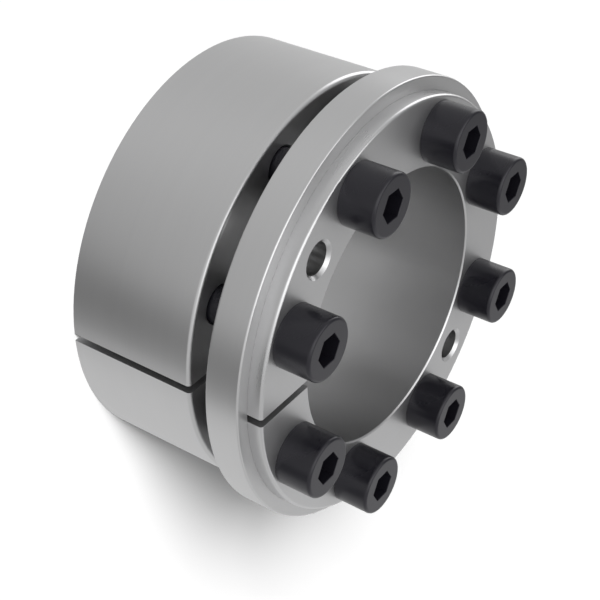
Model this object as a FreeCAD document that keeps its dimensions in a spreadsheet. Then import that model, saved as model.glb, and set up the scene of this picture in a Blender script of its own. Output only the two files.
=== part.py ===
import FreeCAD, Part
import math
import os

import Sketcher

# Shaft locking assembly for a keyless joint between a shaft and a hub: a slit inner ring and
# a slit outer ring meet on a slender cone, and a circle of socket head screws draws them
# together. A spacer ring round the flange takes the thrust of the hub.
# Frame: +Z along the axis towards the screw heads, origin in the middle of the rear end,
# slits towards -Y.

os.makedirs("parts", exist_ok=True)
doc = FreeCAD.newDocument("shaft_locking_assembly")
sizes = doc.addObject("Spreadsheet::Sheet", "Sizes")

# Driving dimensions, in millimetres and degrees.
DRIVING = [
    ("shaft_diameter", "60"),
    ("section_depth", "15"),
    ("outer_ring_length", "29.6"),
    ("clamp_gap", "6.2"),
    ("collar_width", "7.6"),
    ("collar_step", "3"),
    ("flange_proud", "3.3"),
    ("lip_width", "3"),
    ("lip_seat", "2.7"),
    ("seat_clearance", "0.02"),
    ("sleeve_wall", "1.4"),
    ("cone_angle", "2"),
    ("cone_clearance", "0.3"),
    ("clamp_travel", "2.5"),
    ("cone_run_out", "1"),
    ("neck_relief", "0.5"),
    ("slit_width", "1.7"),
    ("bolt_offset", "7.5"),
    ("screw_count", "8"),
    ("screw_diameter", "8"),
    ("screw_length", "40"),
    ("thread_pitch", "1.25"),
    ("thread_clearance", "0.05"),
    ("hole_clearance", "0.5"),
    ("head_diameter", "13"),
    ("head_height", "8"),
    ("socket_width", "6"),
    ("socket_depth", "4.5"),
    ("socket_point_diameter", "5.2"),
    ("socket_point_angle", "120"),
    ("jack_hole_count", "2"),
    ("countersink_depth", "0.7"),
    ("countersink_angle", "90"),
    ("ring_rounding", "0.9"),
    ("heel_rounding", "0.2"),
    ("flange_rounding", "0.65"),
    ("neck_rounding", "0.6"),
    ("head_rounding", "0.65"),
    ("throat_rounding", "0.4"),
    ("tip_chamfer", "0.9"),
    ("edge_break", "0.3"),
    ("collar_edge_break", "0.4"),
]

# What follows from the driving dimensions: heights measured from the rear end, radii from the
# axis, and angles from +X. The slits are at -90 degrees, midway between two screws.
FOLLOWING = [
    ("bore_radius", "=shaft_diameter / 2"),
    ("hub_radius", "=bore_radius + section_depth"),
    ("collar_radius", "=hub_radius + collar_step"),
    ("lip_radius", "=hub_radius - lip_seat"),
    ("collar_rear", "=outer_ring_length + clamp_gap"),
    ("flange_rear", "=collar_rear + lip_width"),
    ("collar_front", "=collar_rear + collar_width"),
    ("flange_front", "=collar_front + flange_proud"),
    ("cone_radius", "=bore_radius + sleeve_wall"),
    ("cone_end", "=outer_ring_length + clamp_travel + cone_run_out"),
    ("cone_end_radius", "=cone_radius + cone_end * tan(cone_angle)"),
    ("neck_radius", "=cone_end_radius - neck_relief"),
    ("taper_radius", "=cone_radius + cone_clearance"),
    ("taper_front_radius", "=taper_radius + outer_ring_length * tan(cone_angle)"),
    ("bolt_radius", "=bore_radius + bolt_offset"),
    ("screw_pitch_angle", "=360 / screw_count"),
    ("first_screw_angle", "=screw_pitch_angle / 2 - 90"),
    ("jack_hole_angle", "=-90 - screw_pitch_angle"),
    ("tap_drill_diameter", "=screw_diameter - thread_pitch"),
    ("countersink_diameter", "=tap_drill_diameter + 2 * countersink_depth"),
    ("clearance_hole_diameter", "=screw_diameter + 2 * hole_clearance"),
    ("shank_radius", "=screw_diameter / 2 - thread_clearance"),
]

# Lengths in millimetres that differ by less than this are taken as the same.
SAME_LENGTH = 1e-4

for row, (alias, content) in enumerate(DRIVING + FOLLOWING, start=1):
    sizes.set(f"A{row}", alias)
    sizes.set(f"B{row}", content)
    sizes.setAlias(f"B{row}", alias)
doc.recompute()


def size(alias):
    """The present value of one size, as a plain number."""
    return float(sizes.get(alias))


def origin_plane(body, role):
    """One of a body's own origin planes."""
    return next(item for item in body.Origin.OriginFeatures if item.Role == role)


def new_body(label):
    body = doc.addObject("PartDesign::Body", label)
    body.Label = label
    return body


def new_sketch(body, name, role, height=None):
    """A sketch on one of the body's planes, lifted along its normal to a named height."""
    sketch = body.newObject("Sketcher::SketchObject", name)
    sketch.AttachmentSupport = [(origin_plane(body, role), "")]
    sketch.MapMode = "FlatFace"
    if height:
        sketch.setExpression("AttachmentOffset.Base.z", f"Sizes.{height}")
    return sketch


def evaluate(expression):
    """The value that an expression of named sizes has now, for a sketch's first drawing."""
    return float(sizes.evalExpression(expression))


def draw_outline(sketch, corners):
    """A closed outline of straight lines through corners given as pairs of expressions.

    Equal neighbouring coordinates become horizontal and vertical lines. The others are
    distances from the sketch's origin, bound to the sheet.
    """
    places = [FreeCAD.Vector(evaluate(across), evaluate(up), 0) for across, up in corners]
    count = len(corners)
    for here in range(count):
        sketch.addGeometry(Part.LineSegment(places[here], places[(here + 1) % count]), False)
    for here in range(count):
        after = (here + 1) % count
        sketch.addConstraint(Sketcher.Constraint("Coincident", here, 2, after, 1))
        if corners[here][0] == corners[after][0]:
            sketch.addConstraint(Sketcher.Constraint("Vertical", here))
        if corners[here][1] == corners[after][1]:
            sketch.addConstraint(Sketcher.Constraint("Horizontal", here))
    for here in range(count):
        before = (here - 1) % count
        across, up = corners[here]
        if across != corners[before][0]:
            place_point(sketch, "X", here, 1, across, places[here].x)
        if up != corners[before][1]:
            place_point(sketch, "Y", here, 1, up, places[here].y)


def place_point(sketch, direction, geometry, point, expression, value):
    """Holds a point at a signed distance from the sketch's origin along X or Y."""
    if abs(value) < SAME_LENGTH:
        axis = -2 if direction == "X" else -1
        sketch.addConstraint(Sketcher.Constraint("PointOnObject", geometry, point, axis))
        return
    kind = "Distance" + direction
    index = sketch.addConstraint(Sketcher.Constraint(kind, -1, 1, geometry, point, value))
    sketch.setExpression(f"Constraints[{index}]", bound(expression))


def bound(expression):
    """The same expression, with each size read from the sheet."""
    aliases = sorted((alias for alias, content in DRIVING + FOLLOWING), key=len, reverse=True)
    words = {alias: f"Sizes.{alias}" for alias in aliases}
    parts = []
    word = ""
    for letter in expression + " ":
        if letter.isalnum() or letter == "_":
            word += letter
            continue
        parts.append(words.get(word, word) + letter)
        word = ""
    return "".join(parts).strip()


def draw_circle(sketch, radius, across="0", up="0"):
    """A circle bound to the sheet, with its centre at a pair of expressions."""
    centre = FreeCAD.Vector(evaluate(across), evaluate(up), 0)
    circle = Part.Circle(centre, FreeCAD.Vector(0, 0, 1), evaluate(radius))
    index = sketch.addGeometry(circle, False)
    place_point(sketch, "X", index, 3, across, centre.x)
    place_point(sketch, "Y", index, 3, up, centre.y)
    rule = sketch.addConstraint(Sketcher.Constraint("Radius", index, evaluate(radius)))
    sketch.setExpression(f"Constraints[{rule}]", bound(radius))


def revolve(body, name, corners):
    """A turned solid, or a turned cut from it: the outline spun round the body's Z axis."""
    sketch = new_sketch(body, name + "_section", "XZ_Plane")
    draw_outline(sketch, corners)
    kind = "PartDesign::Groove" if body.Tip else "PartDesign::Revolution"
    turned = body.newObject(kind, name)
    turned.Profile = sketch
    turned.ReferenceAxis = (sketch, ["V_Axis"])
    turned.Angle = 360
    doc.recompute()
    return turned


def rim(feature, radius, height):
    """The name of a feature's full circular edge of one radius at one height."""
    for number, edge in enumerate(feature.Shape.Edges, start=1):
        curve = edge.Curve
        if not isinstance(curve, Part.Circle) or abs(curve.Radius - radius) > SAME_LENGTH:
            continue
        off_axis = math.hypot(curve.Center.x, curve.Center.y)
        if off_axis < SAME_LENGTH and abs(curve.Center.z - height) < SAME_LENGTH:
            return f"Edge{number}"
    raise ValueError(f"no rim of radius {radius} at height {height} on {feature.Label}")


def dress(body, name, kind, rims, alias):
    """Rounds or chamfers the body's rims, given as pairs of a radius and a height."""
    base = body.Tip
    feature = body.newObject("PartDesign::" + kind, name)
    feature.Base = (base, [rim(base, radius, height) for radius, height in rims])
    feature.setExpression("Radius" if kind == "Fillet" else "Size", f"Sizes.{alias}")
    doc.recompute()
    return feature


def cut_through(body, name, sketch):
    """A pocket upwards through the whole body."""
    before = body.Shape.Volume
    pocket = body.newObject("PartDesign::Pocket", name)
    pocket.Profile = sketch
    pocket.Type = "ThroughAll"
    pocket.Reversed = True
    doc.recompute()
    check_cut(body, name, before)
    return pocket


def check_cut(body, name, before):
    """A cut that points away from the solid takes nothing off, so the volume is compared."""
    if not body.Shape.Volume < before:
        raise ValueError(f"{name} cuts nothing from {body.Label}")


def repeat_round(body, name, originals, count):
    """Repeats features evenly round the body's Z axis."""
    pattern = body.newObject("PartDesign::PolarPattern", name)
    pattern.Originals = originals
    pattern.Axis = (originals[0].Profile[0], ["N_Axis"])
    pattern.Angle = 360
    pattern.setExpression("Occurrences", f"Sizes.{count}")
    body.Tip = pattern
    doc.recompute()
    return pattern


def cut_slit(body):
    """The saw cut along the whole ring, on its -Y side."""
    sketch = new_sketch(body, "slit_section", "XY_Plane")
    corners = [
        ("-slit_width / 2", "0"),
        ("-slit_width / 2", "-collar_radius"),
        ("slit_width / 2", "-collar_radius"),
        ("slit_width / 2", "0"),
    ]
    draw_outline(sketch, corners)
    return cut_through(body, "slit", sketch)


def drill(body, name, diameter, angle, height, upwards, countersink=None, depth=None):
    """A drilled hole on the screw circle, with a countersink where its width is named."""
    sketch = new_sketch(body, name + "_place", "XY_Plane", height)
    draw_circle(sketch, diameter + " / 2", f"bolt_radius * cos({angle})", f"bolt_radius * sin({angle})")
    doc.recompute()
    before = body.Shape.Volume
    hole = body.newObject("PartDesign::Hole", name)
    hole.Profile = sketch
    hole.Reversed = upwards
    hole.setExpression("Diameter", bound(diameter))
    hole.DepthType = "Dimension" if depth else "ThroughAll"
    if depth:
        hole.setExpression("Depth", bound(depth))
    if countersink:
        hole.HoleCutType = "Countersink"
        hole.HoleCutCustomValues = True
        hole.setExpression("HoleCutDiameter", bound(countersink))
        hole.setExpression("HoleCutCountersinkAngle", bound("countersink_angle"))
    doc.recompute()
    check_cut(body, name, before)
    return hole


def make_inner_ring():
    """Slit sleeve with its slender cone, relief neck and screw flange, turned from one bar."""
    body = new_body("inner_ring")
    section = [
        ("bore_radius", "0"),
        ("cone_radius", "0"),
        ("cone_end_radius", "cone_end"),
        ("neck_radius", "cone_end"),
        ("neck_radius", "flange_rear"),
        ("hub_radius", "flange_rear"),
        ("hub_radius", "flange_front"),
        ("bore_radius", "flange_front"),
    ]
    revolve(body, "turning", section)
    front = size("flange_front")
    dress(body, "flange_edge", "Fillet", [(size("hub_radius"), front)], "flange_rounding")
    dress(body, "neck_root", "Fillet", [(size("neck_radius"), size("flange_rear"))], "neck_rounding")
    bore_rims = [(size("bore_radius"), 0), (size("bore_radius"), front)]
    dress(body, "bore_edges", "Chamfer", bore_rims, "edge_break")
    cut_slit(body)
    sketch = new_sketch(body, "screw_hole_place", "XY_Plane")
    across = "bolt_radius * cos(first_screw_angle)"
    up = "bolt_radius * sin(first_screw_angle)"
    draw_circle(sketch, "clearance_hole_diameter / 2", across, up)
    hole = cut_through(body, "screw_hole", sketch)
    repeat_round(body, "screw_holes", [hole], "screw_count")
    jack_hole = drill(body, "jack_hole", "tap_drill_diameter", "jack_hole_angle", "flange_front",
                      False, countersink="countersink_diameter")
    repeat_round(body, "jack_holes", [jack_hole], "jack_hole_count")
    return body


def make_outer_ring():
    """Slit ring, straight outside for the hub and tapered inside, with the tapped holes.

    Its outer edge is rounded at the front and only broken at the heel.
    """
    body = new_body("outer_ring")
    section = [
        ("taper_radius", "0"),
        ("hub_radius", "0"),
        ("hub_radius", "outer_ring_length"),
        ("taper_front_radius", "outer_ring_length"),
    ]
    revolve(body, "turning", section)
    front = size("outer_ring_length")
    dress(body, "front_edge", "Fillet", [(size("hub_radius"), front)], "ring_rounding")
    dress(body, "heel", "Fillet", [(size("hub_radius"), 0)], "heel_rounding")
    inner_rims = [(size("taper_radius"), 0), (size("taper_front_radius"), front)]
    dress(body, "inner_edges", "Chamfer", inner_rims, "collar_edge_break")
    cut_slit(body)
    hole = drill(body, "tapped_hole", "screw_diameter", "first_screw_angle", "outer_ring_length",
                 False, countersink="screw_diameter + 2 * edge_break")
    mouth = drill(body, "tapped_hole_mouth", "screw_diameter", "first_screw_angle", None,
                  True, countersink="screw_diameter + 2 * edge_break", depth="thread_pitch")
    repeat_round(body, "tapped_holes", [hole, mouth], "screw_count")
    return body


def make_spacer_ring():
    """Closed collar round the flange, with a lip behind it that takes the hub's thrust."""
    body = new_body("spacer_ring")
    section = [
        ("lip_radius", "collar_rear"),
        ("collar_radius", "collar_rear"),
        ("collar_radius", "collar_front"),
        ("hub_radius + seat_clearance", "collar_front"),
        ("hub_radius + seat_clearance", "flange_rear"),
        ("lip_radius", "flange_rear"),
    ]
    revolve(body, "turning", section)
    radius = size("collar_radius")
    rims = [(radius, size("collar_rear")), (radius, size("collar_front"))]
    dress(body, "collar_edges", "Fillet", rims, "collar_edge_break")
    return body


def draw_hexagon(sketch, width):
    """A regular hexagon with two corners on the vertical axis, sized across its flats."""
    sides = 6
    corner_radius = evaluate(width) / math.sqrt(3)
    turns = [math.tau * number / sides for number in range(sides)]
    corners = [FreeCAD.Vector(-corner_radius * math.sin(turn), corner_radius * math.cos(turn), 0)
               for turn in turns]
    for here in range(sides):
        sketch.addGeometry(Part.LineSegment(corners[here], corners[(here + 1) % sides]), False)
    circle = Part.Circle(FreeCAD.Vector(0, 0, 0), FreeCAD.Vector(0, 0, 1), corner_radius)
    guide = sketch.addGeometry(circle, True)
    sketch.addConstraint(Sketcher.Constraint("Coincident", guide, 3, -1, 1))
    for here in range(sides):
        sketch.addConstraint(Sketcher.Constraint("Coincident", here, 2, (here + 1) % sides, 1))
        sketch.addConstraint(Sketcher.Constraint("PointOnObject", here, 1, guide))
    for here in range(1, sides):
        sketch.addConstraint(Sketcher.Constraint("Equal", 0, here))
    sketch.addConstraint(Sketcher.Constraint("PointOnObject", 0, 1, -2))
    rule = sketch.addConstraint(Sketcher.Constraint("Radius", guide, corner_radius))
    sketch.setExpression(f"Constraints[{rule}]", f"Sizes.{width} / sqrt(3)")


def make_screw(number):
    """Socket head cap screw, with the middle of its bearing face at the body's origin."""
    body = new_body(f"screw_{number}")
    section = [
        ("0", "-screw_length"),
        ("shank_radius", "-screw_length"),
        ("shank_radius", "0"),
        ("head_diameter / 2", "0"),
        ("head_diameter / 2", "head_height"),
        ("0", "head_height"),
    ]
    revolve(body, "turning", section)
    shank = size("shank_radius")
    head_rim = (size("head_diameter") / 2, size("head_height"))
    dress(body, "throat", "Fillet", [(shank, 0)], "throat_rounding")
    dress(body, "head_rim", "Fillet", [head_rim], "head_rounding")
    dress(body, "tip", "Chamfer", [(shank, -size("screw_length"))], "tip_chamfer")

    sketch = new_sketch(body, "socket_section", "XY_Plane", "head_height")
    draw_hexagon(sketch, "socket_width")
    before = body.Shape.Volume
    socket = body.newObject("PartDesign::Pocket", "socket")
    socket.Profile = sketch
    socket.Type = "Length"
    socket.setExpression("Length", "Sizes.socket_depth")
    doc.recompute()
    check_cut(body, "socket", before)

    before = body.Shape.Volume
    floor_height = "head_height - socket_depth"
    point_depth = "socket_point_diameter / 2 / tan(socket_point_angle / 2)"
    point = [
        ("0", f"{floor_height} - {point_depth}"),
        ("socket_point_diameter / 2", floor_height),
        ("0", floor_height),
    ]
    revolve(body, "socket_point", point)
    check_cut(body, "socket_point", before)

    angle = f"Sizes.first_screw_angle + {number - 1} * Sizes.screw_pitch_angle"
    body.setExpression("Placement.Base.x", f"Sizes.bolt_radius * cos({angle})")
    body.setExpression("Placement.Base.y", f"Sizes.bolt_radius * sin({angle})")
    body.setExpression("Placement.Base.z", "Sizes.flange_front")
    return body


subparts = [make_inner_ring(), make_outer_ring(), make_spacer_ring()]
for screw_number in range(1, int(size("screw_count")) + 1):
    subparts.append(make_screw(screw_number))
doc.recompute()

for item in doc.Objects:
    if "Invalid" in item.State or "Error" in item.State:
        raise ValueError(f"{item.Label} failed to build")
for subpart in subparts:
    solid = subpart.Shape
    if solid.isNull() or not solid.isValid() or len(solid.Solids) != 1:
        raise ValueError(f"{subpart.Label} isn't one valid solid")
for subpart in subparts:
    subpart.Shape.exportStep(f"parts/{subpart.Label}.step")
    print(subpart.Label, round(subpart.Shape.Volume, 1))
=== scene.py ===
import math

import bmesh
import bpy
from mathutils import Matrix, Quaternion, Vector


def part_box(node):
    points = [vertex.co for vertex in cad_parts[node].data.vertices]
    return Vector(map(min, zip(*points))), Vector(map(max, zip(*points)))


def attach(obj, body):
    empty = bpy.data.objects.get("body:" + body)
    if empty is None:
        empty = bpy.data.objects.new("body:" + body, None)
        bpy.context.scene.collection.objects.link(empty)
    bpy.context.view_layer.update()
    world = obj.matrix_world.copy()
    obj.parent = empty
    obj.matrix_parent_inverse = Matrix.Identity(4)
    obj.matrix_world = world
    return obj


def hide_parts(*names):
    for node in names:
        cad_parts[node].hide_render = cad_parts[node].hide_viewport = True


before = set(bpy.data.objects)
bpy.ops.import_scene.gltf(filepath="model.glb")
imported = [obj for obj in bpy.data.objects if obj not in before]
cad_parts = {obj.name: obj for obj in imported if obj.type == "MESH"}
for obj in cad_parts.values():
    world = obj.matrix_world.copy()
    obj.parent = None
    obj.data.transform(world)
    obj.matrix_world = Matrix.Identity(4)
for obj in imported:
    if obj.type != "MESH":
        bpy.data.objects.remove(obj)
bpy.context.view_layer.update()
MM = 0.001

# Outer ring: turned from steel bar, straight outside for the hub's bore and tapered inside, sawn through
# once along its length. Its satin surface keeps the fine marks of the turning tool, the walls of the saw
# cut keep straight ones, and its edges are lighter, partly rubbed a little and partly painted highlight.

OUTER_RING_RADIUS = 45 * MM
OUTER_RING_GROOVE = 0.22 * MM
OUTER_RING_LIGHT = (0.635, 0.635, 0.638)
OUTER_RING_DARK = (0.600, 0.600, 0.603)
OUTER_RING_ROUGHNESS = (0.27, 0.32)
OUTER_RING_WEAR_AND_HIGHLIGHT_WIDTH = 0.3 * MM
FRONT_RIM_ROUNDING = 0.9 * MM
HEEL_ROUNDING = 0.2 * MM


def new_effect(name, inputs, outputs, kind_out="NodeSocketFloat"):
    """An empty shader node group with named sockets, with its inner input and output nodes."""
    tree = bpy.data.node_groups.new(name, "ShaderNodeTree")
    for label, kind in inputs:
        tree.interface.new_socket(label, in_out="INPUT", socket_type=kind)
    for label in outputs:
        tree.interface.new_socket(label, in_out="OUTPUT", socket_type=kind_out)
    return tree, tree.nodes.new("NodeGroupInput"), tree.nodes.new("NodeGroupOutput")


def feed(tree, socket, source):
    """Gives a node's input another node's output, or a plain value."""
    if isinstance(source, bpy.types.NodeSocket):
        tree.links.new(source, socket)
    else:
        socket.default_value = source


def calculate(tree, operation, *terms):
    """The result of one sum, product or other plain operation on outputs and values."""
    node = tree.nodes.new("ShaderNodeMath")
    node.operation = operation
    for socket, term in zip(node.inputs, terms):
        feed(tree, socket, term)
    return node.outputs[0]


def mix(tree, kind, share, first, second):
    """A colour or a vector that goes over into another one as the share goes from 0 to 1."""
    node = tree.nodes.new("ShaderNodeMix")
    node.data_type = kind
    first_input, output = {"VECTOR": (4, 1), "RGBA": (6, 2)}[kind]
    feed(tree, node.inputs["Factor"], share)
    feed(tree, node.inputs[first_input], first)
    feed(tree, node.inputs[first_input + 1], second)
    return node.outputs[output]


def remap(tree, source, start, end, low=0.0, high=1.0):
    """A smooth step from low to high while the source goes from start to end."""
    node = tree.nodes.new("ShaderNodeMapRange")
    node.interpolation_type = "SMOOTHSTEP"
    for name, value in (("Value", source), ("From Min", start), ("From Max", end),
                        ("To Min", low), ("To Max", high)):
        feed(tree, node.inputs[name], value)
    return node.outputs["Result"]


def noise(tree, vector, w, scale, detail=2.0):
    """Noise that varies with a place and with one more length."""
    node = tree.nodes.new("ShaderNodeTexNoise")
    node.noise_dimensions = "4D"
    feed(tree, node.inputs["Vector"], vector)
    feed(tree, node.inputs["W"], w)
    node.inputs["Scale"].default_value = scale
    node.inputs["Detail"].default_value = detail
    return node.outputs["Fac"]


def place(tree, effect, **values):
    """A copy of an effect in a material, with its own values."""
    node = tree.nodes.new("ShaderNodeGroup")
    node.node_tree = effect
    for name, value in values.items():
        feed(tree, node.inputs[name], value)
    return node


# The tool's marks run round the axis: they change along the section, over cylinders and end
# faces alike, and only slowly round the piece. On a sawn wall they run along the cut.
GROOVES_A_BAND = 14.0
GROOVE_SCALE = 0.6
BAND_SCALE = 1.4
GROOVE_SHARE = 0.45

turning, given, result = new_effect(
    "turning_marks",
    [("Position", "NodeSocketVector"), ("Groove", "NodeSocketFloat"), ("Sawn", "NodeSocketFloat")],
    ["Height", "Streak"])
split = turning.nodes.new("ShaderNodeSeparateXYZ")
turning.links.new(given.outputs["Position"], split.inputs[0])
flat = turning.nodes.new("ShaderNodeCombineXYZ")
turning.links.new(split.outputs["X"], flat.inputs["X"])
turning.links.new(split.outputs["Y"], flat.inputs["Y"])
radius = turning.nodes.new("ShaderNodeVectorMath")
radius.operation = "LENGTH"
turning.links.new(flat.outputs[0], radius.inputs[0])
around = turning.nodes.new("ShaderNodeVectorMath")
around.operation = "NORMALIZE"
turning.links.new(flat.outputs[0], around.inputs[0])
lengthwise = calculate(turning, "MULTIPLY", split.outputs["Z"],
                       calculate(turning, "SUBTRACT", 1.0, given.outputs["Sawn"]))
travel = calculate(turning, "ADD", radius.outputs["Value"], lengthwise)
grooves = calculate(turning, "DIVIDE", travel, given.outputs["Groove"])
bands = calculate(turning, "DIVIDE", grooves, GROOVES_A_BAND)
fine = noise(turning, around.outputs[0], grooves, GROOVE_SCALE)
broad = noise(turning, around.outputs[0], bands, BAND_SCALE)
streak = calculate(turning, "MULTIPLY_ADD", fine, GROOVE_SHARE,
                   calculate(turning, "MULTIPLY", broad, 1.0 - GROOVE_SHARE))
turning.links.new(fine, result.inputs["Height"])
turning.links.new(streak, result.inputs["Streak"])

# Edges that stand proud are lighter than the flats beside them, unevenly: partly rubbed wear, partly a
# painted highlight along the edges. The cosines say how far a rounded edge turns away from its flat where
# the lightening starts and is full.
RUBBING_SAMPLES = 8
RUBBING_COSINES = (0.995, 0.86)
RUBBED_PATCH_SCALE = 90.0
RUBBED_PATCH_LEAST = 0.6
PATCH_RANGE = (0.3, 0.7)

rubbing, given, result = new_effect(
    "worn_and_highlit_edges", [("Position", "NodeSocketVector"), ("Width", "NodeSocketFloat")], ["Rubbed"])
rounded = rubbing.nodes.new("ShaderNodeBevel")
rounded.samples = RUBBING_SAMPLES
rubbing.links.new(given.outputs["Width"], rounded.inputs["Radius"])
surface = rubbing.nodes.new("ShaderNodeNewGeometry")
facing = rubbing.nodes.new("ShaderNodeVectorMath")
facing.operation = "DOT_PRODUCT"
rubbing.links.new(rounded.outputs[0], facing.inputs[0])
rubbing.links.new(surface.outputs["Normal"], facing.inputs[1])
turned_away = remap(rubbing, facing.outputs["Value"], *RUBBING_COSINES)
unevenness = noise(rubbing, given.outputs["Position"], 0.0, RUBBED_PATCH_SCALE)
patches = remap(rubbing, unevenness, *PATCH_RANGE, RUBBED_PATCH_LEAST, 1.0)
rubbing.links.new(calculate(rubbing, "MULTIPLY", turned_away, patches), result.inputs["Rubbed"])

# The thin film of oil that such parts are packed with lies in soft uneven patches.
OIL_PATCH_SCALE = 42.0
OIL_PATCH_DETAIL = 3.0

oiling, given, result = new_effect("oil_film", [("Position", "NodeSocketVector")], ["Film"])
unevenness = noise(oiling, given.outputs["Position"], 0.0, OIL_PATCH_SCALE, OIL_PATCH_DETAIL)
film = remap(oiling, unevenness, *PATCH_RANGE)
oiling.links.new(film, result.inputs["Film"])

# The walls of the saw cut: they face sideways, close to the cut's middle plane. The margin is
# the share by which the search for them is wider than the cut.
SAWN_WALL_COSINE = 0.98
SAWN_WALL_MARGIN = 1.05

sawing, given, result = new_effect(
    "saw_cut_walls",
    [("Position", "NodeSocketVector"), ("Normal", "NodeSocketVector"), ("Half Width", "NodeSocketFloat")],
    ["Sawn"])
split = sawing.nodes.new("ShaderNodeSeparateXYZ")
sawing.links.new(given.outputs["Position"], split.inputs[0])
normal = sawing.nodes.new("ShaderNodeSeparateXYZ")
sawing.links.new(given.outputs["Normal"], normal.inputs[0])
slope = calculate(sawing, "ABSOLUTE", normal.outputs["X"])
sideways = calculate(sawing, "GREATER_THAN", slope, SAWN_WALL_COSINE)
reach = calculate(sawing, "MULTIPLY", given.outputs["Half Width"], SAWN_WALL_MARGIN)
close = calculate(sawing, "LESS_THAN", calculate(sawing, "ABSOLUTE", split.outputs["X"]), reach)
sawing.links.new(calculate(sawing, "MULTIPLY", sideways, close), result.inputs["Sawn"])

# A rounded rim: its exact normal, worked out from the place on the rounding, keeps the line of
# light along it even. Side is 1 on a front rim and -1 on a rear one.
rounding, given, result = new_effect(
    "even_rounding",
    [("Position", "NodeSocketVector"), ("Normal", "NodeSocketVector"), ("Middle Radius", "NodeSocketFloat"),
     ("Middle Height", "NodeSocketFloat"), ("Side", "NodeSocketFloat"), ("Sawn", "NodeSocketFloat")],
    ["Normal"], "NodeSocketVector")
split = rounding.nodes.new("ShaderNodeSeparateXYZ")
rounding.links.new(given.outputs["Position"], split.inputs[0])
radius = calculate(rounding, "SQRT", calculate(
    rounding, "MULTIPLY_ADD", split.outputs["X"], split.outputs["X"],
    calculate(rounding, "MULTIPLY", split.outputs["Y"], split.outputs["Y"])))
outwards = calculate(rounding, "SUBTRACT", radius, given.outputs["Middle Radius"])
lengthwise = calculate(rounding, "SUBTRACT", split.outputs["Z"], given.outputs["Middle Height"])
beyond = calculate(rounding, "MULTIPLY", lengthwise, given.outputs["Side"])
share = calculate(rounding, "DIVIDE", outwards, radius)
along_normal = rounding.nodes.new("ShaderNodeCombineXYZ")
for axis, term in (("X", calculate(rounding, "MULTIPLY", split.outputs["X"], share)),
                   ("Y", calculate(rounding, "MULTIPLY", split.outputs["Y"], share)), ("Z", lengthwise)):
    rounding.links.new(term, along_normal.inputs[axis])
in_world = rounding.nodes.new("ShaderNodeVectorTransform")
in_world.vector_type = "NORMAL"
in_world.convert_from = "OBJECT"
in_world.convert_to = "WORLD"
rounding.links.new(along_normal.outputs[0], in_world.inputs[0])
both = calculate(rounding, "MULTIPLY", calculate(rounding, "GREATER_THAN", outwards, 0.0),
                 calculate(rounding, "GREATER_THAN", beyond, 0.0))
unsawn = calculate(rounding, "SUBTRACT", 1.0, given.outputs["Sawn"])
on_rim = calculate(rounding, "MULTIPLY", both, unsawn)
even = mix(rounding, "VECTOR", on_rim, given.outputs["Normal"], in_world.outputs[0])
rounding.links.new(even, result.inputs["Normal"])

# Turned steel, as all three rings have it. The end faces are cut with a coarser feed than the outside, so
# they are duller, and the walls of the saw cut are duller still. Their colour is darker, partly as sawn
# steel is and partly as painted shade in the narrow slit.
SLIT_HALF_WIDTH = 0.85 * MM
SAWN_DULL_AND_PAINTED_SHADE = (0.40, 0.40, 0.405)
SAWN_ROUGHNESS = 0.25
WORN_AND_HIGHLIT_EDGE_SHADE = (0.74, 0.74, 0.74)
WORN_AND_HIGHLIT_EDGE_SHARE = 0.35
OIL_SHARE = 0.5
END_FACE_COSINES = (0.95, 0.99)
END_FACE_ROUGHNESS = 0.12
TURNING_RELIEF = 0.002 * MM
TURNING_RELIEF_STRENGTH = 0.5


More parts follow.
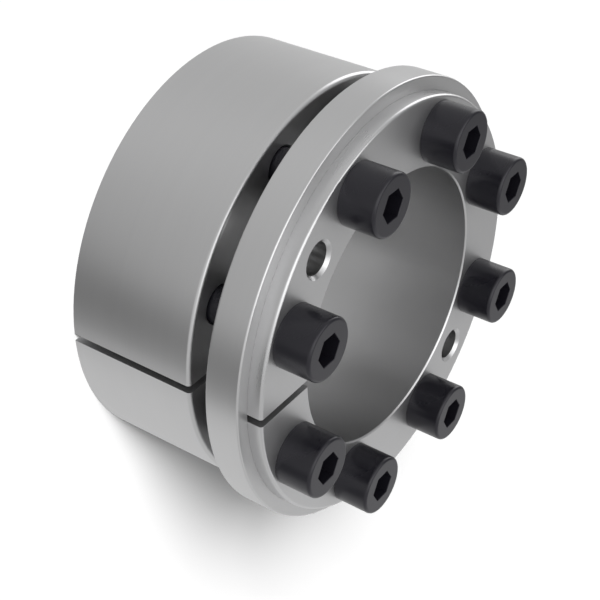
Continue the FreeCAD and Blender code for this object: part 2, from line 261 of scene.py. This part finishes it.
def turned_steel(name, groove, light, dark, roughness, wear_and_highlight_width, rims):
    """Bright turned steel. Returns the material and the Bump node for its marks.

    Each rounded rim is given as the radius and height of its rounding's middle, and its side.
    """
    material = bpy.data.materials.new(name)
    material.use_nodes = True
    tree = material.node_tree
    steel = tree.nodes["Principled BSDF"]
    where = tree.nodes.new("ShaderNodeTexCoord")
    position = where.outputs["Object"]
    sawn = place(tree, sawing, **{"Position": position, "Normal": where.outputs["Normal"],
                                  "Half Width": SLIT_HALF_WIDTH})
    marks = place(tree, turning, Position=position, Groove=groove, Sawn=sawn.outputs["Sawn"])
    rubbed = place(tree, rubbing, Position=position, Width=wear_and_highlight_width)
    oil = place(tree, oiling, Position=position)

    shade = mix(tree, "RGBA", marks.outputs["Streak"], (*dark, 1.0), (*light, 1.0))
    # Lighter edges: partly rubbed wear, partly painted highlight.
    wear_and_highlight_share = calculate(tree, "MULTIPLY", rubbed.outputs["Rubbed"], WORN_AND_HIGHLIT_EDGE_SHARE)
    worn_and_highlit = mix(tree, "RGBA", wear_and_highlight_share, shade, (*WORN_AND_HIGHLIT_EDGE_SHADE, 1.0))
    # The saw cut's walls: a darker colour, partly sawn steel and partly painted shade in the slit.
    cut = mix(tree, "RGBA", sawn.outputs["Sawn"], worn_and_highlit, (*SAWN_DULL_AND_PAINTED_SHADE, 1.0))
    tree.links.new(cut, steel.inputs["Base Color"])
    steel.inputs["Metallic"].default_value = 1.0

    smooth, coarse = roughness
    uneven = calculate(tree, "MULTIPLY_ADD", oil.outputs["Film"], OIL_SHARE,
                       calculate(tree, "MULTIPLY", marks.outputs["Streak"], 1.0 - OIL_SHARE))
    satin = calculate(tree, "MULTIPLY_ADD", uneven, coarse - smooth, smooth)
    matt = calculate(tree, "MULTIPLY_ADD", sawn.outputs["Sawn"], SAWN_ROUGHNESS, satin)
    direction = tree.nodes.new("ShaderNodeSeparateXYZ")
    tree.links.new(where.outputs["Normal"], direction.inputs[0])
    slope = calculate(tree, "ABSOLUTE", direction.outputs["Z"])
    end_face = remap(tree, slope, *END_FACE_COSINES)
    duller = calculate(tree, "MULTIPLY_ADD", end_face, END_FACE_ROUGHNESS, matt)
    tree.links.new(duller, steel.inputs["Roughness"])

    normal = tree.nodes.new("ShaderNodeNewGeometry").outputs["Normal"]
    for middle_radius, middle_height, side in rims:
        rim = place(tree, rounding, **{"Position": position, "Normal": normal, "Sawn": sawn.outputs["Sawn"],
                                       "Middle Radius": middle_radius, "Middle Height": middle_height,
                                       "Side": side})
        normal = rim.outputs["Normal"]
    bump = tree.nodes.new("ShaderNodeBump")
    bump.inputs["Strength"].default_value = TURNING_RELIEF_STRENGTH
    bump.inputs["Distance"].default_value = TURNING_RELIEF
    tree.links.new(marks.outputs["Height"], bump.inputs["Height"])
    tree.links.new(normal, bump.inputs["Normal"])
    tree.links.new(bump.outputs[0], steel.inputs["Normal"])
    return material, bump


def finish_node(name, material):
    """Gives a piece of the frame its finish."""
    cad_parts[name].data.materials[0] = material


low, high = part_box("outer_ring")
outer_steel, bump = turned_steel(
    "outer_ring_steel", OUTER_RING_GROOVE, OUTER_RING_LIGHT, OUTER_RING_DARK, OUTER_RING_ROUGHNESS,
    OUTER_RING_WEAR_AND_HIGHLIGHT_WIDTH,
    [(OUTER_RING_RADIUS - FRONT_RIM_ROUNDING, high.z - FRONT_RIM_ROUNDING, 1.0),
     (OUTER_RING_RADIUS - HEEL_ROUNDING, low.z + HEEL_ROUNDING, -1.0)])
finish_node("outer_ring", outer_steel)

# Inner ring: one turned piece with the shaft's bore, a thin sleeve with the slender cone and
# the screw flange, sawn through like the outer ring. Two of its holes are tapped, for the
# jacking screws that push the rings apart again.

FLANGE_RADIUS = 45 * MM
FLANGE_ROUNDING = 0.65 * MM
INNER_RING_GROOVE = 0.18 * MM
INNER_RING_LIGHT = (0.635, 0.635, 0.640)
INNER_RING_DARK = (0.605, 0.605, 0.610)
INNER_RING_ROUGHNESS = (0.26, 0.31)
INNER_RING_WEAR_AND_HIGHLIGHT_WIDTH = 0.25 * MM
BORE_EDGE = (30.2 * MM, 30.05 * MM)
BORE_PAINTED_SHADE = (0.515, 0.515, 0.518)
BORE_SMOOTHNESS = 0.85
BORE_ROUGHNESS = 0.30
SCREW_CIRCLE_RADIUS = 37.5 * MM
JACK_HOLE_TURN = math.radians(45)
JACK_HOLE_EDGE = (3.55 * MM, 3.42 * MM)
JACK_HOLE_PAINTED_SHADE = (0.57, 0.57, 0.57)
JACK_THREAD_DEPTH = 0.012 * MM
THREAD_PITCH = 1.25 * MM

low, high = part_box("inner_ring")
inner_steel, bump = turned_steel(
    "inner_ring_steel", INNER_RING_GROOVE, INNER_RING_LIGHT, INNER_RING_DARK, INNER_RING_ROUGHNESS,
    INNER_RING_WEAR_AND_HIGHLIGHT_WIDTH,
    [(FLANGE_RADIUS - FLANGE_ROUNDING, high.z - FLANGE_ROUNDING, 1.0)])
finish_node("inner_ring", inner_steel)

# The bore is more even than the outside, with fainter marks and one roughness of its own, as it was bored
# with a slender bar. Its colour is darker: painted shade for the inside of the bore.
tree = inner_steel.node_tree
steel = tree.nodes["Principled BSDF"]
turned_shade = steel.inputs["Base Color"].links[0].from_socket
where = tree.nodes.new("ShaderNodeTexCoord")
flat = tree.nodes.new("ShaderNodeVectorMath")
flat.operation = "MULTIPLY"
tree.links.new(where.outputs["Object"], flat.inputs[0])
flat.inputs[1].default_value = (1.0, 1.0, 0.0)
radius = tree.nodes.new("ShaderNodeVectorMath")
radius.operation = "LENGTH"
tree.links.new(flat.outputs[0], radius.inputs[0])
in_bore = remap(tree, radius.outputs["Value"], *BORE_EDGE)
# Painted shade: the bore's colour is darkened where shade falls inside it.
painted_bore_shade_colour = mix(tree, "RGBA", in_bore, turned_shade, (*BORE_PAINTED_SHADE, 1.0))
groove_height = bump.inputs["Height"].links[0].from_socket
flatter = calculate(tree, "MULTIPLY_ADD", in_bore, -BORE_SMOOTHNESS, 1.0)
tree.links.new(calculate(tree, "MULTIPLY", groove_height, flatter), bump.inputs["Height"])
turned_roughness = steel.inputs["Roughness"].links[0].from_socket
change = calculate(tree, "MULTIPLY", in_bore, calculate(tree, "SUBTRACT", BORE_ROUGHNESS, turned_roughness))
tree.links.new(calculate(tree, "ADD", turned_roughness, change), steel.inputs["Roughness"])

# The thread in the two jacking holes, which lie opposite each other on the screw circle. Their walls are
# painted darker, as painted shade inside the holes.
even_normal = bump.inputs["Normal"].links[0].from_socket
where = tree.nodes.new("ShaderNodeTexCoord")
split = tree.nodes.new("ShaderNodeSeparateXYZ")
tree.links.new(where.outputs["Object"], split.inputs[0])
cosine, sine = math.cos(JACK_HOLE_TURN), math.sin(JACK_HOLE_TURN)
outward = calculate(tree, "MULTIPLY_ADD", split.outputs["X"], cosine,
                    calculate(tree, "MULTIPLY", split.outputs["Y"], sine))
across = calculate(tree, "MULTIPLY_ADD", split.outputs["Y"], cosine,
                   calculate(tree, "MULTIPLY", split.outputs["X"], -sine))
side = calculate(tree, "SIGN", outward)
along = calculate(tree, "SUBTRACT", calculate(tree, "ABSOLUTE", outward), SCREW_CIRCLE_RADIUS)
across = calculate(tree, "MULTIPLY", across, side)
distance = calculate(tree, "SQRT", calculate(
    tree, "MULTIPLY_ADD", along, along, calculate(tree, "MULTIPLY", across, across)))
turn = calculate(tree, "DIVIDE", calculate(tree, "ARCTAN2", across, along), math.tau)
height = calculate(tree, "DIVIDE", split.outputs["Z"], THREAD_PITCH)
wave = calculate(tree, "PINGPONG", calculate(tree, "SUBTRACT", height, turn), 0.5)
in_hole = remap(tree, distance, *JACK_HOLE_EDGE)
# Painted shade: the holes' walls are darkened where shade falls inside them.
painted_hole_shade_colour = mix(tree, "RGBA", in_hole, painted_bore_shade_colour, (*JACK_HOLE_PAINTED_SHADE, 1.0))
tree.links.new(painted_hole_shade_colour, steel.inputs["Base Color"])
thread = tree.nodes.new("ShaderNodeBump")
thread.inputs["Strength"].default_value = 1.0
thread.inputs["Distance"].default_value = JACK_THREAD_DEPTH
tree.links.new(calculate(tree, "MULTIPLY", wave, in_hole), thread.inputs["Height"])
tree.links.new(even_normal, thread.inputs["Normal"])
tree.links.new(thread.outputs[0], bump.inputs["Normal"])

# Spacer ring: the wider collar round the flange, a closed turned ring that was never sawn.
# The hub is pushed against it while the screws are tightened.

COLLAR_RADIUS = 48 * MM
COLLAR_ROUNDING = 0.4 * MM
SPACER_GROOVE = 0.2 * MM
SPACER_LIGHT = (0.640, 0.640, 0.643)
SPACER_DARK = (0.605, 0.605, 0.608)
SPACER_ROUGHNESS = (0.27, 0.32)
SPACER_WEAR_AND_HIGHLIGHT_WIDTH = 0.25 * MM

low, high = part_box("spacer_ring")
spacer_steel, bump = turned_steel(
    "spacer_ring_steel", SPACER_GROOVE, SPACER_LIGHT, SPACER_DARK, SPACER_ROUGHNESS, SPACER_WEAR_AND_HIGHLIGHT_WIDTH,
    [(COLLAR_RADIUS - COLLAR_ROUNDING, high.z - COLLAR_ROUNDING, 1.0),
     (COLLAR_RADIUS - COLLAR_ROUNDING, low.z + COLLAR_ROUNDING, -1.0)])
finish_node("spacer_ring", spacer_steel)

# Cap screws: eight hexagon socket head screws, cold headed, thread rolled over the lower
# part of the shank and blackened. The heads are plain turned, with a rounded rim, and the
# shank is plain where it crosses the gap between outer ring and collar.

SCREW_COUNT = 8
SEGMENTS = 72
HEAD_ROUNDING = 0.65 * MM
HEAD_FOOT_ROUNDING = 0.05 * MM
SHANK_RADIUS = 3.95 * MM
THROAT_ROUNDING = 0.4 * MM
THREAD_LENGTH = 22 * MM
THREAD_DEPTH = 0.767 * MM
TIP_CHAMFER = 0.9 * MM
HEXAGON_HALF_WIDTH = 3.0 * MM
HEXAGON_LEAD_IN = 0.1 * MM
SOCKET_DEPTH = 4.5 * MM
SOCKET_POINT_RADIUS = 2.6 * MM
SOCKET_POINT_DEPTH = 1.5 * MM
ARC_STEPS = 8
HOLDING_EDGE = 0.12 * MM
RUN_OUT_PITCHES = 1.5
# One pitch of the thread: shares of the pitch, and shares of the depth there.
THREAD_FORM = [(0.0, 0.0), (0.125, 0.0), (0.4375, 0.93), (0.5625, 1.0), (0.6875, 0.93)]
THREAD_CREASE = math.radians(32)
MERGE_DISTANCE = 0.0001 * MM
SCREW_BLACK = (0.0115, 0.0110, 0.0155)
SCREW_WORN_AND_HIGHLIT_EDGE = (0.034, 0.033, 0.040)
SCREW_WEAR_AND_HIGHLIGHT_WIDTH = 0.15 * MM
SCREW_WORN_AND_HIGHLIT_SHARE = 0.55
SCREW_SHEEN = (0.97, 0.96, 1.0)
SCREW_IOR = 1.47
SCREW_ROUGHNESS = 0.262
SCREW_STREAK_ROUGHNESS = 0.012
SCREW_OIL_ROUGHNESS = 0.025
SCREW_GROOVE = 0.16 * MM
SCREW_GRAIN_SCALE = 9000.0
SCREW_GRAIN_SHARE = 0.5
SCREW_RELIEF = 0.006 * MM
SCREW_RELIEF_STRENGTH = 0.35

screw_low, screw_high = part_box("screw_1")
bearing_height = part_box("inner_ring")[1].z
head_radius = (screw_high.x - screw_low.x) / 2
head_height = screw_high.z - bearing_height
tip_height = screw_low.z - bearing_height


def circle(radius, height):
    """One row of a turned piece."""
    turns = [math.tau * step / SEGMENTS for step in range(SEGMENTS)]
    return [Vector((radius * math.cos(turn), radius * math.sin(turn), height)) for turn in turns]


def hexagon(half_width, height):
    """A row that follows a hexagon with two corners on the Y axis."""
    sixth = math.tau / 6
    row = []
    for step in range(SEGMENTS):
        turn = math.tau * step / SEGMENTS
        radius = half_width / math.cos((turn + sixth / 2) % sixth - sixth / 2)
        row.append(Vector((radius * math.cos(turn), radius * math.sin(turn), height)))
    return row


def arc(middle_radius, middle_height, radius, start, end):
    """Rows round a quarter arc of the section, from one angle to another, in degrees."""
    rows = []
    for step in range(ARC_STEPS + 1):
        turn = math.radians(start + (end - start) * step / ARC_STEPS)
        rows.append(circle(middle_radius + radius * math.cos(turn),
                           middle_height + radius * math.sin(turn)))
    return rows


def thread_grid(crest, depth, bottom, top, radius_limit):
    """Vertices and faces of a right hand thread between two heights.

    Each row climbs one pitch a turn, so that crests and roots are whole lines. Rows are cut
    off at the two heights. The limit gives the largest depth share and radius at a height.
    """
    form_count = len(THREAD_FORM)
    turns = math.ceil((top - bottom) / THREAD_PITCH) + 1
    vertices = []
    for number in range((turns + 1) * form_count + 1):
        pitch, part = divmod(number, form_count)
        share, cut = THREAD_FORM[part]
        for step in range(SEGMENTS):
            turn = step / SEGMENTS
            height = bottom + (pitch + share + turn - 1) * THREAD_PITCH
            height = min(max(height, bottom), top)
            radius = radius_limit(height, crest, depth * cut)
            vertices.append((radius * math.cos(math.tau * turn),
                             radius * math.sin(math.tau * turn), height))
    faces = []
    for number in range(turns * form_count):
        for step in range(SEGMENTS):
            here = number * SEGMENTS + step
            if step + 1 < SEGMENTS:
                beside = here + 1
            else:
                beside = (number + form_count) * SEGMENTS
            corners = [here, beside, beside + SEGMENTS, here + SEGMENTS]
            heights = [vertices[corner][2] for corner in corners]
            if max(heights) - min(heights) > MERGE_DISTANCE:
                faces.append(corners)
    return vertices, faces


def shell(vertices, faces, rows, closed_start, closed_end):
    """Adds rows joined by strips, each end closed to a point in its middle where wanted."""
    first = len(vertices)
    for row in rows:
        vertices.extend(tuple(point) for point in row)
    for number in range(len(rows) - 1):
        for step in range(SEGMENTS):
            here = first + number * SEGMENTS + step
            beside = first + number * SEGMENTS + (step + 1) % SEGMENTS
            faces.append([here, beside, beside + SEGMENTS, here + SEGMENTS])
    for wanted, row, flip in ((closed_start, 0, True), (closed_end, len(rows) - 1, False)):
        if wanted is None:
            continue
        vertices.append((0, 0, wanted))
        for step in range(SEGMENTS):
            here = first + row * SEGMENTS + step
            beside = first + row * SEGMENTS + (step + 1) % SEGMENTS
            corners = [here, beside, len(vertices) - 1]
            faces.append(corners[::-1] if flip else corners)


def new_mesh(name, vertices, faces, crease):
    """A mesh with doubled points merged, smooth up to the crease angle."""
    mesh = bpy.data.meshes.new(name)
    mesh.from_pydata(vertices, [], faces)
    work = bmesh.new()
    work.from_mesh(mesh)
    bmesh.ops.remove_doubles(work, verts=work.verts, dist=MERGE_DISTANCE)
    bmesh.ops.recalc_face_normals(work, faces=work.faces)
    work.to_mesh(mesh)
    work.free()
    mesh.polygons.foreach_set("use_smooth", [True] * len(mesh.polygons))
    mesh.set_sharp_from_angle(angle=crease)
    return mesh


def screw_thread_radius(height, crest, cut):
    """The screw's thread fades out at its upper end and is chamfered at its tip."""
    run_out = min(1.0, (tip_height + THREAD_LENGTH - height) / (RUN_OUT_PITCHES * THREAD_PITCH))
    chamfer = crest - TIP_CHAMFER + (height - tip_height)
    return min(crest - cut * run_out, chamfer)


vertices, faces = thread_grid(SHANK_RADIUS, THREAD_DEPTH, tip_height, tip_height + THREAD_LENGTH,
                              screw_thread_radius)
shell(vertices, faces, [circle(SHANK_RADIUS - TIP_CHAMFER, tip_height)], tip_height, None)
rows = [circle(SHANK_RADIUS, tip_height + THREAD_LENGTH)]
rows += arc(SHANK_RADIUS + THROAT_ROUNDING, -THROAT_ROUNDING, THROAT_ROUNDING, 180, 90)
rows += arc(head_radius - HEAD_FOOT_ROUNDING, HEAD_FOOT_ROUNDING, HEAD_FOOT_ROUNDING, -90, 0)
rows.append(circle(head_radius, head_height - HEAD_ROUNDING - HOLDING_EDGE))
rows += arc(head_radius - HEAD_ROUNDING, head_height - HEAD_ROUNDING, HEAD_ROUNDING, 0, 90)
rows.append(circle(head_radius - HEAD_ROUNDING - HOLDING_EDGE, head_height))
rows.append(hexagon(HEXAGON_HALF_WIDTH + HEXAGON_LEAD_IN, head_height))
rows.append(hexagon(HEXAGON_HALF_WIDTH, head_height - HEXAGON_LEAD_IN))
rows.append(hexagon(HEXAGON_HALF_WIDTH, head_height - SOCKET_DEPTH))
rows.append(circle(SOCKET_POINT_RADIUS, head_height - SOCKET_DEPTH))
shell(vertices, faces, rows, None, head_height - SOCKET_DEPTH - SOCKET_POINT_DEPTH)
screw_mesh = new_mesh("cap_screw", vertices, faces, THREAD_CREASE)

screw_steel = bpy.data.materials.new("blackened_screw_steel")
screw_steel.use_nodes = True
tree = screw_steel.node_tree
black = tree.nodes["Principled BSDF"]
black.inputs["IOR"].default_value = SCREW_IOR
black.inputs["Specular Tint"].default_value = (*SCREW_SHEEN, 1.0)
where = tree.nodes.new("ShaderNodeTexCoord")
position = where.outputs["Object"]
marks = place(tree, turning, Position=position, Groove=SCREW_GROOVE, Sawn=0.0)
rubbed = place(tree, rubbing, Position=position, Width=SCREW_WEAR_AND_HIGHLIGHT_WIDTH)
oil = place(tree, oiling, Position=position)
# Lighter edges on the screws: partly rubbed blackening, partly painted highlight.
wear_and_highlight_share = calculate(tree, "MULTIPLY", rubbed.outputs["Rubbed"], SCREW_WORN_AND_HIGHLIT_SHARE)
shade = mix(tree, "RGBA", wear_and_highlight_share, (*SCREW_BLACK, 1.0), (*SCREW_WORN_AND_HIGHLIT_EDGE, 1.0))
tree.links.new(shade, black.inputs["Base Color"])
streaked = calculate(tree, "MULTIPLY_ADD", marks.outputs["Streak"], SCREW_STREAK_ROUGHNESS, SCREW_ROUGHNESS)
oiled = calculate(tree, "MULTIPLY_ADD", oil.outputs["Film"], SCREW_OIL_ROUGHNESS, streaked)
tree.links.new(oiled, black.inputs["Roughness"])
grain = noise(tree, position, 0.0, SCREW_GRAIN_SCALE, 1.0)
height = calculate(tree, "MULTIPLY_ADD", grain, SCREW_GRAIN_SHARE,
                   calculate(tree, "MULTIPLY", marks.outputs["Height"], 1.0 - SCREW_GRAIN_SHARE))
bump = tree.nodes.new("ShaderNodeBump")
bump.inputs["Strength"].default_value = SCREW_RELIEF_STRENGTH
bump.inputs["Distance"].default_value = SCREW_RELIEF
tree.links.new(height, bump.inputs["Height"])
tree.links.new(bump.outputs[0], black.inputs["Normal"])
screw_mesh.materials.append(screw_steel)

for number in range(1, SCREW_COUNT + 1):
    node = f"screw_{number}"
    low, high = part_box(node)
    screw = bpy.data.objects.new(f"cap_screw_{number}", screw_mesh)
    bpy.context.scene.collection.objects.link(screw)
    screw.location = ((low.x + high.x) / 2, (low.y + high.y) / 2, bearing_height)
    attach(screw, node)
    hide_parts(node)

# Tapped threads: the first turns of the thread in the outer ring's eight holes, which show
# at their rear mouths below the screws' tips.

TAPPED_ROOT_RADIUS = 4.0 * MM
TAPPED_DEPTH = 0.62 * MM
TAPPED_START = 0.4 * MM
TAPPED_END = 4.05 * MM
TAPPED_WALL = 0.05 * MM
TAPPED_FADE_PITCHES = 0.3


def tapped_thread_radius(height, root, cut):
    """The tapped thread starts shallow at the mouth and fades out again further in."""
    lead_in = min(1.0, (height - TAPPED_START) / THREAD_PITCH)
    fade = min(1.0, (TAPPED_END - height) / (TAPPED_FADE_PITCHES * THREAD_PITCH))
    return root - (TAPPED_DEPTH - cut) * min(lead_in, fade)


vertices, faces = thread_grid(TAPPED_ROOT_RADIUS, TAPPED_DEPTH, TAPPED_START, TAPPED_END,
                              tapped_thread_radius)
wall = [circle(TAPPED_ROOT_RADIUS, TAPPED_END), circle(TAPPED_ROOT_RADIUS + TAPPED_WALL, TAPPED_END),
        circle(TAPPED_ROOT_RADIUS + TAPPED_WALL, TAPPED_START), circle(TAPPED_ROOT_RADIUS, TAPPED_START)]
shell(vertices, faces, wall, None, None)
tapped_mesh = new_mesh("tapped_thread", vertices, faces, THREAD_CREASE)
tapped_mesh.materials.append(outer_steel)

for number in range(1, SCREW_COUNT + 1):
    low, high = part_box(f"screw_{number}")
    lining = bpy.data.objects.new(f"tapped_thread_{number}", tapped_mesh)
    bpy.context.scene.collection.objects.link(lining)
    lining.location = ((low.x + high.x) / 2, (low.y + high.y) / 2, 0)
    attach(lining, "outer_ring")

# Camera: the photograph's own place, distance and lens. There the assembly lies on its
# collar, with the row's -X upwards, so the camera is rolled about its line of sight.

LENS = 84.5305
CAMERA_AIM = Vector((4.367, -3.879, 26.111)) * MM
CAMERA_DISTANCE = 299.527 * MM
CAMERA_AZIMUTH = math.radians(-41.616)
CAMERA_ELEVATION = math.radians(28.233)
CAMERA_ROLL = math.radians(112.396)
CAMERA_NEAREST = 0.01
CAMERA_FURTHEST = 20.0

back = Vector((math.sin(CAMERA_AZIMUTH) * math.cos(CAMERA_ELEVATION),
               -math.cos(CAMERA_AZIMUTH) * math.cos(CAMERA_ELEVATION),
               math.sin(CAMERA_ELEVATION)))
camera = bpy.data.objects.new("camera", bpy.data.cameras.new("camera"))
bpy.context.scene.collection.objects.link(camera)
camera.data.lens = LENS
camera.location = CAMERA_AIM + back * CAMERA_DISTANCE
camera.rotation_mode = "QUATERNION"
camera.rotation_quaternion = (-back).to_track_quat("-Z", "Y") @ Quaternion((0, 0, 1), CAMERA_ROLL)
camera.data.clip_start = CAMERA_NEAREST
camera.data.clip_end = CAMERA_FURTHEST
bpy.context.scene.camera = camera

# Floor: a plain matt surface that the assembly stands on, lit to white by a soft lamp of its own
# beside the camera, which also gives it the object's shadow. Only the camera sees it, and only
# from above, so that the metal reflects the studio and nothing hides the object from below.

FLOOR_SIZE = 6.0
FLOOR_COLOUR = (0.20, 0.20, 0.20, 1.0)
SHADOW_LAMP_AZIMUTH = math.radians(210)
SHADOW_LAMP_ELEVATION = math.radians(31)
SHADOW_LAMP_ANGLE = math.radians(24)
SHADOW_LAMP_STRENGTH = 26.5

half = FLOOR_SIZE / 2
floor_mesh = bpy.data.meshes.new("floor")
floor_mesh.from_pydata([(-half, -half, 0), (half, -half, 0), (half, half, 0), (-half, half, 0)], [],
                       [(0, 1, 2, 3)])
floor = bpy.data.objects.new("floor", floor_mesh)
bpy.context.scene.collection.objects.link(floor)
floor_paint = bpy.data.materials.new("floor_paint")
floor_paint.use_nodes = True
tree = floor_paint.node_tree
paint = tree.nodes["Principled BSDF"]
paint.inputs["Base Color"].default_value = FLOOR_COLOUR
paint.inputs["Roughness"].default_value = 1.0
paint.inputs["Specular IOR Level"].default_value = 0.0
clear = tree.nodes.new("ShaderNodeBsdfTransparent")
ray = tree.nodes.new("ShaderNodeLightPath")
side = tree.nodes.new("ShaderNodeNewGeometry")
above = calculate(tree, "SUBTRACT", 1.0, side.outputs["Backfacing"])
seen = calculate(tree, "MULTIPLY", ray.outputs["Is Camera Ray"], above)
choice = tree.nodes.new("ShaderNodeMixShader")
tree.links.new(seen, choice.inputs["Fac"])
tree.links.new(clear.outputs[0], choice.inputs[1])
tree.links.new(paint.outputs[0], choice.inputs[2])
tree.links.new(choice.outputs[0], tree.nodes["Material Output"].inputs["Surface"])
floor_mesh.materials.append(floor_paint)

lit_by_shadow_lamp = bpy.data.collections.new("lit_by_shadow_lamp")
lit_by_shadow_lamp.objects.link(floor)
shadow_lamp = bpy.data.objects.new("shadow_lamp", bpy.data.lights.new("shadow_lamp", "SUN"))
shadow_lamp.data.angle = SHADOW_LAMP_ANGLE
shadow_lamp.data.energy = SHADOW_LAMP_STRENGTH
towards = Vector((math.cos(SHADOW_LAMP_AZIMUTH) * math.cos(SHADOW_LAMP_ELEVATION),
                  math.sin(SHADOW_LAMP_AZIMUTH) * math.cos(SHADOW_LAMP_ELEVATION),
                  math.sin(SHADOW_LAMP_ELEVATION)))
shadow_lamp.rotation_mode = "QUATERNION"
shadow_lamp.rotation_quaternion = towards.to_track_quat("Z", "Y")
shadow_lamp.light_linking.receiver_collection = lit_by_shadow_lamp
bpy.context.scene.collection.objects.link(shadow_lamp)

# Studio: a pale room with a dark band across it, which the metal shows as the soft dark band
# along the rings' side, and windows, which show as lines of light on the rounded edges. Up in
# the photograph is towards the frame's -X, so the bands lie across X.

# Each band: its place from -1, straight up in the photograph, to 1, and its brightness there.
ROOM_BANDS = [(-1.0, 0.70), (-0.80, 0.69), (-0.60, 0.54), (-0.30, 0.42), (-0.05, 0.23), (0.10, 0.12),
              (0.30, 0.19), (0.44, 0.30), (0.50, 0.32), (0.53, 0.39), (0.61, 0.72), (0.72, 0.76),
              (1.0, 0.73)]
ROOM_OPEN = 0.62
# Over these spans of direction the bands fade in, and give way again to the open room.
BANDS_FADE_IN = (1.1, 0.35)
OPEN_SIDE_Y = (0.2, -0.4)
OPEN_UPPER_X = (0.30, -0.15)
OPEN_UPPER_Z = (-0.60, -0.48)
OPEN_FRONT_Z = (-0.35, -0.05)
# Each window: its direction, the cosines of its outer and inner edge, and its brightness.
WINDOWS = [((-0.10, 0.17, 0.98), (0.85, 0.90), 1.15),
           ((-0.33, 0.94, -0.02), (0.90, 0.95), 1.4),
           ((-0.30, -0.62, 0.72), (0.76, 0.96), 0.31),
           ((-0.35, -0.47, 0.81), (0.88, 0.96), 0.65),
           ((0.0, -1.0, -0.1), (0.80, 0.96), 0.09)]

world = bpy.data.worlds.new("studio")
world.use_nodes = True
bpy.context.scene.world = world
tree = world.node_tree
room = tree.nodes["Background"]
where = tree.nodes.new("ShaderNodeTexCoord")
split = tree.nodes.new("ShaderNodeSeparateXYZ")
tree.links.new(where.outputs["Generated"], split.inputs[0])
bands = tree.nodes.new("ShaderNodeValToRGB")
tree.links.new(calculate(tree, "MULTIPLY_ADD", split.outputs["X"], 0.5, 0.5), bands.inputs["Fac"])
stops = bands.color_ramp.elements
while len(stops) < len(ROOM_BANDS):
    stops.new(0.5)
for stop, (across, brightness) in zip(stops, ROOM_BANDS):
    stop.position = (across + 1) / 2
    stop.color = (brightness, brightness, brightness, 1.0)
sideways = calculate(tree, "SUBTRACT", split.outputs["Y"], split.outputs["Z"])
banded = remap(tree, sideways, *BANDS_FADE_IN)
upper = calculate(tree, "MULTIPLY", remap(tree, split.outputs["Z"], *OPEN_UPPER_Z),
                  remap(tree, split.outputs["X"], *OPEN_UPPER_X))
either = calculate(tree, "MAXIMUM", upper, remap(tree, split.outputs["Z"], *OPEN_FRONT_Z))
opened = calculate(tree, "MULTIPLY", remap(tree, split.outputs["Y"], *OPEN_SIDE_Y), either)
closed = calculate(tree, "SUBTRACT", 1.0, opened)
banded = calculate(tree, "MULTIPLY", banded, closed)
change = calculate(tree, "SUBTRACT", bands.outputs["Color"], ROOM_OPEN)
lit = calculate(tree, "MULTIPLY_ADD", banded, change, ROOM_OPEN)
for direction, edge, brightness in WINDOWS:
    facing = tree.nodes.new("ShaderNodeVectorMath")
    facing.operation = "DOT_PRODUCT"
    tree.links.new(where.outputs["Generated"], facing.inputs[0])
    facing.inputs[1].default_value = Vector(direction).normalized()
    lit = calculate(tree, "ADD", lit, remap(tree, facing.outputs["Value"], *edge, 0.0, brightness))
ray = tree.nodes.new("ShaderNodeLightPath")
unseen = calculate(tree, "SUBTRACT", 1.0, ray.outputs["Is Camera Ray"])
white = calculate(tree, "MULTIPLY_ADD", lit, unseen, ray.outputs["Is Camera Ray"])
tree.links.new(white, room.inputs["Strength"])
room.inputs["Color"].default_value = (1.0, 1.0, 1.0, 1.0)

bpy.context.scene.view_settings.view_transform = "Standard"
